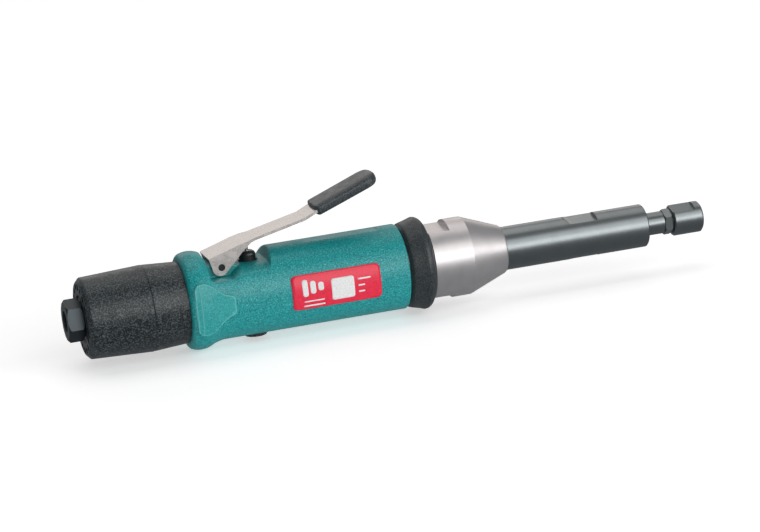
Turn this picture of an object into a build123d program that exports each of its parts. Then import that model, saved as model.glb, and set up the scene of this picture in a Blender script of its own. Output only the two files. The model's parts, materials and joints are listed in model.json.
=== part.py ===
from build123d import *
import os
from math import asin, cos, pi, radians, sin, sqrt, tan

# Air die grinder with an extended nose, in millimetres.
# The spindle axis is X. X = 0 is the outer face of the air inlet and +X points to the collet.
# +Z is the side that carries the throttle lever, and Y goes across the tool.

# ---------------------------------------------------------------- driving dimensions

# Air inlet and exhaust end
HEX_FLATS = 19.0            # inlet bushing across its flats
HEX_LENGTH = 8.0
HEX_ROLL = 15.0
INLET_BORE_R = 5.56         # tapping size of a 1/4 inch pipe thread
INLET_BORE_LENGTH = 13.0
SCREEN_R = 6.1              # strainer snapped into a groove behind the thread
SHANK_R = 9.0
CAP_REAR = 8.2
CAP_REAR_R = 20.75
CAP_SEAM = 41.6
CAP_SEAM_R = 22.15
CAP_WALL = 2.4
EXHAUST_HOLES = 18
EXHAUST_HOLE_R = 1.65
EXHAUST_PITCH_R = 16.3
CAP_RING_FRONT = 60.0
CAP_RING_FRONT_R = 20.9

# Grip
GRIP_REAR = 60.1
GRIP_FRONT = 175.0
GRIP_R = 22.0
GRIP_LIP = 1.6              # rounding of the rear edge of the grip
NECK_REAR = 44.0            # the grip reaches this far back under the black ring
BULGE_X = 66.3              # crest of the swelling behind the lever
BULGE_R = 25.2
CREST_ARC = 12.0            # radius of the crest in the side view
BLEND_ARC = 18.0            # radius of the hollow that leads into the straight grip
LAND_Z = 21.55              # narrow flat along the top of the grip
LAND_SPAN = (125.0, 165.0)
PLATE_SPAN = (112.5, 159.0)
PLATE_HALF_TURN = 24.2      # degrees above and below the near side
CORE_REAR_R = 13.0          # valve end of the metal core
CORE_R = 19.0               # motor end of the metal core
CORE_STEP = 107.0
CORE_REAR = 26.0
CORE_FRONT = 188.4
GAP = 0.05                  # clearance between pieces that are assembled for good

# Lever and valve
PIN_X = 80.6
PIN_Z = 16.8
PIN_R = 1.75
LEVER_WIDTH = 20.4
LEVER_FRONT_WIDTH = 17.2
LEVER_SHEET = 1.4
LEVER_OVERHANG = 0.5        # the strip stands this far outside the ears
EAR_R = 4.1
EAR_SLOPE = 45.0            # degrees of the ear's front edge
EAR_EDGE = 13.4
LEVER_START = (74.3, 22.1)  # rear edge of the lever, on its top face
LEVER_BENDS = ((17.0, 91.0), (12.5, 126.0), (25.0, 131.5), (20.6, 163.0))   # slope in degrees up to x
SLEEVE_SIZE = (37.0, 20.4, 6.2)
LEVER_TRAVEL = 11.0         # degrees
VALVE_X = 96.3
SADDLE_FLOOR = 16.4         # under the valve
SADDLE_LOW_FLOOR = 11.9     # under the lever's ears
SADDLE_REAR = 72.3
SADDLE_FRONT = 106.8
VALVE_STEM_R = 0.85
VALVE_STEM_TOP = 26.6
REGULATOR_LOW = -22.9
DUCT_TURNS = (-20, -50, -130, -160)  # degrees about X of the four exhaust ducts
RUN = 0.06                  # radial clearance of running fits

# Nose
RING_FRONT = 189.0
COLLAR_R = 20.3
COLLAR_CONE = 209.9
COLLAR_FRONT = 230.3
COLLAR_FRONT_R = 12.4
COLLAR_FLATS = 34.0
COLLAR_FLATS_FRONT = 200.6
SPIGOT_R = 16.0             # threaded nose of the metal core, inside the collar
TUBE_R = 11.25
TUBE_SEAT_FRONT = 261.0     # the tube is ground to size up to here
TUBE_RELIEF = 0.03          # and is this much smaller in radius beyond
TUBE_REAR = 204.0
TUBE_FRONT = 308.5
TUBE_FLATS = 19.05
TUBE_FLATS_SPAN = (268.5, 281.8)
TUBE_ROLL = 7.5             # degrees that the tube's flats are turned about X

# Motor and spindle
BORE_R = 14.6               # motor bore in the metal core
CYLINDER_R = 12.4           # bore of the motor cylinder
CYLINDER_OFFSET = 0.9
ROTOR_R = 11.4
ROTOR_SPAN = (117.3, 154.7)
VANES = 4
VANE_THICKNESS = 2.0
VANE_DEPTH = 5.2
SPINDLE_R = 4.0

# Collet
SHANK_HOLE_R = 3.175        # 1/4 inch tool shank
STEM_R = 5.9
STEM_FRONT = 319.3
HOLDER_FLATS = 12.0
HOLDER_ROLL = 30.0
HOLDER_FRONT = 323.3
NUT_REAR = 323.9
NUT_FRONT = 340.2
NUT_R = 8.15
NUT_FLATS = 13.6
NUT_ROLL = 16.0
NUT_FLATS_FRONT = 336.0
COLLET_FRONT = 339.6
THREAD_R = 5.85


# ---------------------------------------------------------------- building blocks

def turned(*outline):
    """A solid of revolution about X from a closed outline of (x, radius) points."""
    return revolve(make_face(Polyline(*outline, close=True)), Axis.X)


def tube(x0, x1, outer, inner=0.0, edge=0.0):
    """A straight sleeve or bar about X, with an optional chamfer on both outer edges."""
    if edge:
        return turned((x0, inner), (x0, outer - edge), (x0 + edge, outer),
                      (x1 - edge, outer), (x1, outer - edge), (x1, inner))
    return turned((x0, inner), (x0, outer), (x1, outer), (x1, inner))


def upright(x, z0, z1, radius):
    """A round bar along Z."""
    return Pos(x, 0, z0) * Cylinder(radius, z1 - z0, align=(Align.CENTER, Align.CENTER, Align.MIN))


def along(x0, x1, y, z, radius):
    """A round bar along X, off the tool's axis."""
    return Pos((x0 + x1) / 2, y, z) * Rot(0, 90, 0) * Cylinder(radius, x1 - x0)


def across(x, z, half_width, radius):
    """A round bar along Y, centred on the tool."""
    return Pos(x, 0, z) * Rot(90, 0, 0) * Cylinder(radius, 2 * half_width)


def hexagon(x0, x1, across_flats, roll):
    """A hexagonal bar about X, turned by roll degrees from having a corner on the Y axis."""
    outline = Plane.YZ.offset(x0) * RegularPolygon(across_flats / sqrt(3), 6, rotation=roll)
    return extrude(outline, x1 - x0)


def side_plate(half_width, *outline):
    """A plate centred on the tool, from a closed outline of (x, z) points."""
    return extrude(Plane.XZ * make_face(Polyline(*outline, close=True)), half_width, both=True)


def flats(x0, x1, across_flats, reach):
    """What is milled away above and below to leave two wrench flats."""
    depth = reach - across_flats / 2
    middle = (across_flats / 2 + reach) / 2
    block = Box(x1 - x0, 2 * reach, depth)
    return Pos((x0 + x1) / 2, 0, middle) * block + Pos((x0 + x1) / 2, 0, -middle) * block


def grip_crest():
    """The crest of the swelling, its hollow, and where the two arcs meet, as (x, radius)."""
    crest_centre = (BULGE_X, BULGE_R - CREST_ARC)
    rise = GRIP_R + BLEND_ARC - crest_centre[1]
    run = sqrt((CREST_ARC + BLEND_ARC) ** 2 - rise ** 2)
    share = CREST_ARC / (CREST_ARC + BLEND_ARC)
    meeting = (crest_centre[0] + run * share, crest_centre[1] + rise * share)
    hollow_centre = (crest_centre[0] + run, GRIP_R + BLEND_ARC)
    return crest_centre, hollow_centre, meeting


# ---------------------------------------------------------------- inlet and exhaust end

def inlet_bushing():
    """Hexagonal bushing that takes the air fitting and clamps the exhaust cap."""
    point_r = HEX_FLATS / sqrt(3)
    rounded = turned((0, 0), (0, point_r - 1.3), (1.0, point_r), (HEX_LENGTH - 0.8, point_r),
                     (HEX_LENGTH, point_r - 1.0), (HEX_LENGTH, 0))
    hexagonal = hexagon(0, HEX_LENGTH, HEX_FLATS, HEX_ROLL)
    body = (hexagonal & rounded) + tube(HEX_LENGTH, 24.4, SHANK_R)
    body += tube(24.4, 38.0, 8.0)
    body -= tube(-1.0, INLET_BORE_LENGTH, INLET_BORE_R)
    body -= tube(INLET_BORE_LENGTH, 14.0, SCREEN_R + GAP)
    return body - tube(13.5, 39.0, 4.4)


def inlet_washer():
    """Bright washer between the bushing and the exhaust cap."""
    return tube(9.0, 10.2, 11.5, SHANK_R + GAP, 0.25)


def inlet_screen():
    """Perforated strainer at the bottom of the inlet thread."""
    disc = tube(INLET_BORE_LENGTH + GAP, 14.0 - GAP, SCREEN_R)
    holes = [along(12, 15, 0, 0, 0.75)]
    for ring_r, count in ((2.1, 6), (4.0, 12)):
        for step in range(count):
            turn = 2 * pi * step / count
            holes.append(along(12, 15, ring_r * cos(turn), ring_r * sin(turn), 0.65))
    return disc - holes


def inlet_oring():
    """Seal under the shoulder of the inlet bushing."""
    return Pos(25.2, 0, 0) * Rot(0, 90, 0) * Torus(8.6, 0.55)


def exhaust_cap():
    """Rear cap with a ring of exhaust holes around the inlet."""
    outer = turned((CAP_REAR, 0), (CAP_REAR, CAP_REAR_R - 2.2), (CAP_REAR + 0.3, CAP_REAR_R - 1.75),
                   (CAP_REAR + 1.8, CAP_REAR_R - 0.15), (CAP_REAR + 2.2, CAP_REAR_R + 0.05),
                   (CAP_SEAM, CAP_SEAM_R), (CAP_SEAM, 0))
    cavity = turned((13.0, 0), (13.0, CAP_REAR_R - CAP_WALL), (CAP_SEAM + 1, CAP_SEAM_R - CAP_WALL),
                    (CAP_SEAM + 1, 0))
    recess = turned((CAP_REAR - 1, 0), (CAP_REAR - 1, 12.9), (CAP_REAR, 12.2), (10.4, 11.6), (10.4, 0))
    cap = outer - cavity - recess - tube(CAP_REAR, 14.0, SHANK_R + 2 * GAP)
    holes = []
    for step in range(EXHAUST_HOLES):
        turn = 2 * pi * (step + 0.5) / EXHAUST_HOLES
        holes.append(along(7, 14, EXHAUST_PITCH_R * cos(turn), EXHAUST_PITCH_R * sin(turn), EXHAUST_HOLE_R))
    return cap - holes


def muffler_felt():
    """Felt ring that quietens the exhaust inside the cap."""
    return tube(13.6, 40.5, 18.1, CORE_REAR_R + 0.4)


def cap_ring():
    """Second black ring, between the exhaust cap and the grip."""
    start = CAP_SEAM + 0.1
    return turned((start, 19.1), (start, 21.75), (start + 0.5, 22.0), (start + 1.5, 22.0),
                  (CAP_RING_FRONT, CAP_RING_FRONT_R), (CAP_RING_FRONT, 19.1))


# ---------------------------------------------------------------- grip and metal core

def grip_body():
    """The turned shape of the grip, before the saddle and the side wings."""
    crest_centre, hollow_centre, meeting = grip_crest()
    start_x = GRIP_REAR + GRIP_LIP
    start_r = crest_centre[1] + sqrt(CREST_ARC ** 2 - (start_x - BULGE_X) ** 2)
    crest = ThreePointArc((start_x, start_r), (BULGE_X, BULGE_R), meeting)
    half_turn = asin((hollow_centre[0] - meeting[0]) / BLEND_ARC) / 2
    hollow_middle = (hollow_centre[0] - BLEND_ARC * sin(half_turn),
                     hollow_centre[1] - BLEND_ARC * cos(half_turn))
    hollow = ThreePointArc(meeting, hollow_middle, (hollow_centre[0], GRIP_R))
    top = Polyline((hollow_centre[0], GRIP_R), (GRIP_FRONT - 0.7, GRIP_R), (GRIP_FRONT, GRIP_R - 0.7),
                   (GRIP_FRONT, 0), (NECK_REAR, 0), (NECK_REAR, CORE_R), (GRIP_REAR, CORE_R),
                   (GRIP_REAR, start_r - GRIP_LIP), (start_x, start_r))
    return revolve(make_face([crest, hollow, top]), Axis.X)


def side_wings():
    """A raised wing on each side of the swelling, tapering to a short front edge."""
    rear, front = 62.2, 83.2
    upper = [(rear, 11.2), (64.0, 13.2), (67.2, 13.8), (70.6, 12.6), (74.0, 9.3), (77.8, 6.5), (front, 4.6)]
    lower = [(x, -z) for x, z in reversed(upper)]
    outline = side_plate(GRIP_R + 6, *upper, *lower)
    reach = turned((rear - 1, 20.0), (rear - 1, 24.2), (BULGE_X - 1, BULGE_R), (BULGE_X + 1, BULGE_R + 0.2),
                   (72.0, 24.9), (front + 1, GRIP_R + 0.8), (front + 1, 20.0))
    return outline & reach


def saddle():
    """The pocket in the top of the grip that the lever and the valve sit in."""
    top = GRIP_R + 10
    pocket = side_plate(GRIP_R + 8, (SADDLE_REAR, top), (SADDLE_REAR, SADDLE_LOW_FLOOR),
                        (84.5, SADDLE_LOW_FLOOR), (90.0, SADDLE_FLOOR), (SADDLE_FRONT - 2.5, SADDLE_FLOOR),
                        (SADDLE_FRONT, GRIP_R + 0.5), (SADDLE_FRONT, top))
    corners = pocket.edges().filter_by(Axis.Y)
    pocket = fillet(corners.sort_by(Axis.Z)[0:2], 2.6)
    edges = pocket.edges().filter_by(Axis.Y).filter_by_position(Axis.Z, SADDLE_FLOOR - 0.1, SADDLE_FLOOR + 0.1)
    return fillet(edges, 1.5)


def lever_boss():
    """The block between the lever's ears that holds the lever pin."""
    half = LEVER_WIDTH / 2 - LEVER_OVERHANG - LEVER_SHEET - 0.4
    block = side_plate(half, (SADDLE_REAR, 11.0), (SADDLE_REAR, PIN_Z + 1.0), (PIN_X - 3.4, PIN_Z + 3.0),
                       (PIN_X + 2.2, PIN_Z + 3.4), (PIN_X + 5.0, PIN_Z + 1.0), (90.5, SADDLE_FLOOR),
                       (90.5, 11.0))
    rims = block.edges().filter_by(Axis.Y).filter_by_position(Axis.Z, PIN_Z + 2, PIN_Z + 5)
    return fillet(rims, 1.6)


def grip_housing():
    """Moulded composite grip around the valve and the motor."""
    grip = grip_body() + side_wings()
    grip -= saddle()
    grip += lever_boss()
    start, end = LAND_SPAN
    grip -= Pos((start + end) / 2, 0, LAND_Z + 2) * Box(end - start, 2 * GRIP_R, 4)
    grip -= tube(NECK_REAR - 1, CORE_STEP + 1, CORE_REAR_R + GAP)
    grip -= tube(CORE_STEP - GAP, GRIP_FRONT + 1, CORE_R + GAP)
    grip -= across(PIN_X, PIN_Z, GRIP_R + 5, PIN_R + 0.03)
    grip -= upright(VALVE_X, 10, 20, 3.9 + GAP)
    grip -= upright(VALVE_X, -GRIP_R - 2, -10, 4.5 + RUN)
    grip -= upright(VALVE_X, -GRIP_R - 2, -20.4, 6.0 + RUN)
    for turn in DUCT_TURNS:
        y, z = 16.2 * cos(radians(turn)), 16.2 * sin(radians(turn))
        grip -= along(NECK_REAR - 1, CORE_STEP + 1, y, z, 2.0)
    return grip


def metal_core():
    """Aluminium core: valve block at the rear, motor case at the front, threaded nose."""
    core = turned((CORE_REAR, 0), (CORE_REAR, CORE_REAR_R - 1), (CORE_REAR + 1, CORE_REAR_R),
                  (CORE_STEP, CORE_REAR_R), (CORE_STEP, CORE_R), (CORE_FRONT, CORE_R),
                  (CORE_FRONT, SPIGOT_R), (203.8, SPIGOT_R), (203.8, 0))
    core -= tube(CORE_REAR - 1, 38.5, 8.0 + GAP)
    core -= tube(38.0, VALVE_X, 4.0)
    core -= tube(110.0, 204.8, BORE_R)
    core -= upright(VALVE_X, -CORE_REAR_R - 1, 9.0, 4.5 + RUN)
    core -= upright(VALVE_X, 8.5, CORE_REAR_R + 1, 3.9 + GAP)
    core -= along(VALVE_X, 111.0, 0, 10.9, 1.5)
    for turn in DUCT_TURNS:
        y, z = 18.6 * cos(radians(turn)), 18.6 * sin(radians(turn))
        core -= along(CORE_STEP - 1, 170.0, y, z, 1.9)
    return core


def name_plate():
    """Blank red plate on the near side of the grip, with rounded corners."""
    half_height = GRIP_R * sin(radians(PLATE_HALF_TURN))
    middle = sum(PLATE_SPAN) / 2
    outline = Plane.XZ * Pos(middle, 0) * RectangleRounded(PLATE_SPAN[1] - PLATE_SPAN[0], 2 * half_height, 2.6)
    near_side = extrude(outline, GRIP_R + 4)
    return near_side & tube(110, 162, GRIP_R + 0.35, GRIP_R + 0.04)


# ---------------------------------------------------------------- throttle

def valve_bushing():
    """Black threaded bushing that guides the valve stem."""
    body = upright(VALVE_X, 8.9, SADDLE_FLOOR, 3.9)
    body += upright(VALVE_X, SADDLE_FLOOR, SADDLE_FLOOR + 0.9, 4.9)
    dome = upright(VALVE_X, SADDLE_FLOOR + 0.9, SADDLE_FLOOR + 4.9, 4.3)
    body += fillet(dome.edges().sort_by(Axis.Z)[-1], 2.2)
    body -= upright(VALVE_X, 8, 22, VALVE_STEM_R + RUN)
    body -= upright(VALVE_X, 8, 13, 2.2)
    return body - along(VALVE_X - 5, VALVE_X + 5, 0, 10.9, 1.2)


def valve_seat():
    """Rubber washer that the valve closes against."""
    return upright(VALVE_X, 8.0, 8.85, 4.4) - upright(VALVE_X, 7.5, 9, 2.3)


def valve_stem():
    """Bright stem that the lever pushes, with a rounded tip."""
    stem = upright(VALVE_X, 5.0, VALVE_STEM_TOP - VALVE_STEM_R, VALVE_STEM_R)
    return stem + Pos(VALVE_X, 0, VALVE_STEM_TOP - VALVE_STEM_R) * Sphere(VALVE_STEM_R)


def valve_head():
    """Poppet on the lower end of the valve stem."""
    head = upright(VALVE_X, 5.0, 7.9, 4.3)
    head = chamfer(head.edges().sort_by(Axis.Z)[0], 0.8)
    return head - upright(VALVE_X, 4, 9, VALVE_STEM_R)


def valve_spring():
    """Coil spring that closes the valve."""
    low, high, wire, coil_r, turns = -5.2, 4.7, 0.32, 3.3, 6
    path = Pos(VALVE_X, 0, low) * Helix((high - low) / turns, high - low, coil_r)
    section = Plane(path @ 0, z_dir=path % 0) * Circle(wire)
    return sweep(section, path)


def regulator():
    """Speed regulator: a slotted disc under the grip with a stem that closes the valve bore."""
    disc = upright(VALVE_X, REGULATOR_LOW, -20.5, 6.0)
    disc = chamfer(disc.edges().sort_by(Axis.Z)[0], 0.5)
    body = disc + upright(VALVE_X, -20.5, -5.6, 4.5)
    body -= Pos(VALVE_X, 0, REGULATOR_LOW) * Box(9.0, 1.4, 2.2)
    body -= upright(VALVE_X, -16.4, -15.2, 6) - upright(VALVE_X, -17, -14, 3.5)
    return body - Pos(VALVE_X, 3.6, -7.5) * Box(10, 4, 4.4)


def regulator_oring():
    """Seal in the groove of the regulator."""
    return Pos(VALVE_X, 0, -15.8) * Torus(4.0, 0.49)


def lever_line():
    """Top line of the lever in the side view, from its rear edge to its front end."""
    points = [LEVER_START]
    for slope, next_x in LEVER_BENDS:
        x, z = points[-1]
        points.append((next_x, z + (next_x - x) * tan(radians(slope))))
    return points


def lowered(point, slope, depth):
    """A point moved square to the lever's sheet, by depth below its top line."""
    return (point[0] + depth * sin(radians(slope)), point[1] - depth * cos(radians(slope)))


def lever_strip():
    """The bent strip, wide over the ears and narrower in front of them."""
    top = lever_line()
    slopes = [LEVER_BENDS[0][0]] + [slope for slope, _ in LEVER_BENDS]
    under = [lowered(point, slope, LEVER_SHEET) for point, slope in zip(top, slopes)]
    wide, narrow = LEVER_WIDTH / 2, LEVER_FRONT_WIDTH / 2
    rear, neck, waist, front = 60, 95.5, 99.5, 170
    plan = Polyline((rear, -wide), (neck, -wide), (waist, -narrow), (front, -narrow), (front, narrow),
                    (waist, narrow), (neck, wide), (rear, wide), close=True)
    return side_plate(wide, *top, *reversed(under)) & extrude(make_face(plan), 80)


def lever():
    """Pressed steel lever: a bent strip with two ears that straddle the pin boss."""
    line = lever_line()
    inside = LEVER_SHEET / 2
    rear = lowered(line[0], LEVER_BENDS[0][0], inside)
    knee = lowered(line[1], LEVER_BENDS[1][0], inside)
    tip = lowered((98.0, line[1][1] + (98.0 - line[1][0]) * tan(radians(LEVER_BENDS[1][0]))),
                  LEVER_BENDS[1][0], inside)
    heel = (PIN_X - 0.7, PIN_Z - 0.1)
    slant = radians(EAR_SLOPE)
    toe = (heel[0] + EAR_R * sin(slant), heel[1] - EAR_R * cos(slant))
    brow = (toe[0] + EAR_EDGE * cos(slant), toe[1] + EAR_EDGE * sin(slant))
    outside = LEVER_WIDTH / 2 - LEVER_OVERHANG
    ears = side_plate(outside, rear, knee, tip, brow, toe, heel, (heel[0] - EAR_R, heel[1]))
    ears += across(heel[0], heel[1], outside, EAR_R)
    ears -= Pos(heel[0], 0, heel[1]) * Box(60, 2 * (outside - LEVER_SHEET), 60)
    return lever_strip() + ears - across(PIN_X, PIN_Z, outside + 1, PIN_R + RUN)


def lever_sleeve():
    """Dipped rubber sleeve on the front of the lever."""
    slope = LEVER_BENDS[-1][0]
    bend, strip_end = lever_line()[-2:]
    block = Box(*SLEEVE_SIZE, align=(Align.MIN, Align.CENTER, Align.CENTER))
    block = fillet(block.edges().filter_by(Axis.Z), 6.5)
    block = fillet(block.edges().group_by(Axis.Z)[-1] + block.edges().group_by(Axis.Z)[0], 2.4)
    place = Pos(bend[0], 0, bend[1]) * Rot(0, -slope, 0) * Pos(0.3, 0, -LEVER_SHEET / 2)
    covered = (strip_end[0] - bend[0]) / cos(radians(slope)) - 0.3
    pocket = Box(SLEEVE_SIZE[0], LEVER_FRONT_WIDTH, LEVER_SHEET, align=(Align.MIN, Align.CENTER, Align.CENTER))
    return place * (block - Pos(covered - SLEEVE_SIZE[0], 0, 0) * pocket)


def lever_pin():
    """Dark steel pin across the grip."""
    return across(PIN_X, PIN_Z, LEVER_WIDTH / 2 - LEVER_OVERHANG - 0.3, PIN_R)


# ---------------------------------------------------------------- nose

def nose_ring():
    """Rubber ring between the grip and the metal collar, thickest near its front."""
    rear, seat, front = GRIP_FRONT + 0.7, CORE_R + GAP, RING_FRONT - 0.5
    step, crest = (rear + 1.4, 21.9), (184.8, 24.0)
    side = Polyline((rear, seat), (rear, 20.6), (rear + 1.4, 20.6), step)
    flare = ThreePointArc(step, (181.0, 22.75), crest)
    shoulder = ThreePointArc(crest, (187.4, 22.9), (front, 20.6))
    inside = Polyline((front, 20.6), (front, seat), (rear, seat))
    return revolve(make_face([side, flare, shoulder, inside]), Axis.X)


def nose_collar():
    """Satin metal collar that screws onto the core and holds the extension tube."""
    rear = RING_FRONT - 0.4
    shape = turned((rear, 0), (rear, COLLAR_R - 0.7), (rear + 0.7, COLLAR_R), (COLLAR_CONE, COLLAR_R),
                   (COLLAR_FRONT - 0.6, COLLAR_FRONT_R + 0.2), (COLLAR_FRONT, COLLAR_FRONT_R - 0.3),
                   (COLLAR_FRONT, 0))
    shape -= tube(rear - 1, 208.0, SPIGOT_R + GAP)
    shape -= tube(207.0, COLLAR_FRONT + 1, TUBE_R - 0.4 + GAP)
    return shape - flats(rear - 1, COLLAR_FLATS_FRONT, COLLAR_FLATS, 25)


def extension_tube():
    """Long tube that carries the spindle bearings, with a flange inside the collar."""
    shape = tube(TUBE_REAR, 208.0 - GAP, 14.5) + tube(205.0, COLLAR_FRONT, TUBE_R - 0.4)
    shape += tube(COLLAR_FRONT, TUBE_SEAT_FRONT, TUBE_R)
    shape += tube(TUBE_SEAT_FRONT - 1, TUBE_FRONT, TUBE_R - TUBE_RELIEF, 0.0, 0.5)
    shape -= tube(TUBE_REAR - 1, 210.2, 8.0 + GAP)
    shape -= tube(209.0, 301.0, 6.6)
    shape -= tube(299.8, TUBE_FRONT + 1, 8.0 + GAP)
    start, end = TUBE_FLATS_SPAN
    cut = flats(start, end, TUBE_FLATS, 14)
    runout = [Pos(start, 0, side * (TUBE_FLATS / 2 + 6)) * Rot(90, 0, 0) * Cylinder(6, 40)
              for side in (-1, 1)]
    return shape - Rot(TUBE_ROLL, 0, 0) * (cut + runout)


# ---------------------------------------------------------------- motor

def motor_cylinder():
    """Motor cylinder with its bore set off centre."""
    shape = tube(117.1, 154.9, BORE_R - GAP)
    shape -= along(116, 156, 0, CYLINDER_OFFSET, CYLINDER_R)
    for x in (124, 130, 136, 142, 148):
        shape -= Pos(x, -13, -2) * Rot(90, 0, 0) * Cylinder(1.2, 8)
    return shape


def rotor():
    """Slotted rotor with its two shafts."""
    start, end = ROTOR_SPAN
    shape = tube(start, end, ROTOR_R, 0.0, 0.3)
    shape += tube(110.6, start, 3.0, 0.0, 0.2) + tube(end, 163.5, 5.0) + tube(163.0, 181.0, SPINDLE_R)
    for index in range(VANES):
        slot = Pos((start + end) / 2, 0, ROTOR_R - VANE_DEPTH / 2 + 0.2)
        cut = slot * Box(end - start + 1, VANE_THICKNESS + 0.08, VANE_DEPTH + 0.4)
        shape -= Rot(45 + 90 * index, 0, 0) * cut
    return shape


def vane(index):
    """One sliding vane, at the bottom of its slot."""
    start, end = ROTOR_SPAN
    place = Pos((start + end) / 2, 0, ROTOR_R - VANE_DEPTH / 2 - 0.05)
    plate = place * Box(end - start - 0.1, VANE_THICKNESS, VANE_DEPTH - 0.1)
    return Rot(45 + 90 * index, 0, 0) * plate


def end_plate(x0, x1, seat_r, seat_x0, seat_x1, shaft_hole):
    """A motor end plate with a bearing seat, a shaft hole and an air port."""
    plate = tube(x0, x1, BORE_R - GAP, shaft_hole)
    plate -= tube(seat_x0, seat_x1, seat_r + 0.02)
    return plate - along(x0 - 1, x1 + 1, 0, 10.9, 1.5)


def clamp_ring():
    """Slotted ring nut that clamps the motor in its case."""
    ring = tube(163.3, 168.5, BORE_R - GAP, 9.0, 0.4)
    for turn in range(0, 360, 90):
        ring -= Rot(turn, 0, 0) * Pos(168.5, 0, 12) * Box(4, 3, 8)
    return ring


def bearing(x0, width, inner, outer, balls):
    """Outer ring, inner ring and ball set of a deep-groove bearing about X."""
    pitch = (inner + outer) / 2
    ball_r = 0.29 * (outer - inner)
    shoulder = 0.42 * ball_r
    groove = Pos(x0 + width / 2, 0, 0) * Rot(0, 90, 0) * Torus(pitch, ball_r + 0.03)
    outer_ring = tube(x0, x0 + width, outer, pitch + shoulder, 0.2) - groove
    inner_ring = tube(x0, x0 + width, pitch - shoulder, inner, 0.1) - groove
    cage = tube(x0 + width / 2 - 0.5 * ball_r, x0 + width / 2 + 0.5 * ball_r, pitch + 0.3, pitch - 0.3)
    spheres = []
    for index in range(balls):
        turn = 2 * pi * index / balls
        centre = Pos(x0 + width / 2, pitch * cos(turn), pitch * sin(turn))
        spheres.append(centre * Sphere(ball_r))
        cage -= centre * Sphere(ball_r + 0.04)
    return {"outer": outer_ring, "inner": inner_ring, "balls": Compound(children=[*spheres, *cage.solids()])}


# ---------------------------------------------------------------- spindle and collet

def shaft_coupling():
    """Sleeve that joins the rotor to the extension spindle."""
    sleeve = tube(172.0, 193.0, 7.0, SPINDLE_R + 0.02, 0.5)
    return sleeve - Pos(182.5, 0, 7.6) * Box(6, 4, 2.4)


def extension_spindle():
    """Long spindle inside the extension tube."""
    shape = tube(182.0, 212.0, SPINDLE_R) + tube(211.0, 299.6, 5.2, 0.0, 0.4)
    return shape + tube(299.0, 315.8, SPINDLE_R, 0.0, 0.3)


def spindle_seal():
    """Felt seal in front of the front bearing."""
    return tube(305.3, 307.6, 8.0, 5.3 + RUN)


def collet_holder():
    """Stem, wrench hexagon and threaded taper that hold the collet."""
    hexagonal = hexagon(STEM_FRONT, HOLDER_FRONT, HOLDER_FLATS, HOLDER_ROLL)
    point_r = HOLDER_FLATS / sqrt(3)
    rounded = turned((STEM_FRONT, 0), (STEM_FRONT, point_r - 0.6), (STEM_FRONT + 0.6, point_r),
                     (HOLDER_FRONT - 0.6, point_r), (HOLDER_FRONT, point_r - 0.6), (HOLDER_FRONT, 0))
    shape = (hexagonal & rounded) + tube(TUBE_FRONT + 0.6, STEM_FRONT, STEM_R, 0.0, 0.3)
    shape += tube(305.3, TUBE_FRONT + 0.6, 5.3) + tube(HOLDER_FRONT, 337.0, THREAD_R, 0.0, 0.4)
    shape -= tube(305, 316.0, SPINDLE_R + 0.02)
    shape -= tube(317.5, 338.0, 4.45)
    taper = turned((332.5, 0), (332.5, 4.4), (337.0, 5.15), (338.0, 5.3), (338.0, 0))
    return shape - taper


def collet():
    """Split collet with a 1/4 inch bore, tapered at its nose."""
    shape = turned((319.5, SHANK_HOLE_R), (319.5, 4.35), (332.6, 4.35), (337.3, 5.1), (338.3, 5.1),
                   (339.2, 4.3), (COLLET_FRONT, 4.3), (COLLET_FRONT, SHANK_HOLE_R))
    for turn in range(0, 180, 60):
        slot = Pos(333.0, 0, 0) * Box(19.0, 0.6, 14)
        shape -= Rot(turn, 0, 0) * slot
    return shape


def collet_nut():
    """Round collet nut with two wrench flats."""
    shape = turned((NUT_REAR, 0), (NUT_REAR, NUT_R - 0.8), (NUT_REAR + 0.6, NUT_R),
                   (NUT_FRONT - 1.0, NUT_R), (NUT_FRONT, NUT_R - 1.2), (NUT_FRONT, 0))
    shape -= tube(NUT_REAR - 1, 338.5, THREAD_R + RUN)
    mouth = turned((338.4, 0), (338.4, 5.5), (339.5, 4.45), (342.0, 4.45), (342.0, 0))
    return shape - mouth - Rot(NUT_ROLL, 0, 0) * flats(NUT_REAR - 1, NUT_FLATS_FRONT, NUT_FLATS, 12)


# ---------------------------------------------------------------- the assembly

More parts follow.
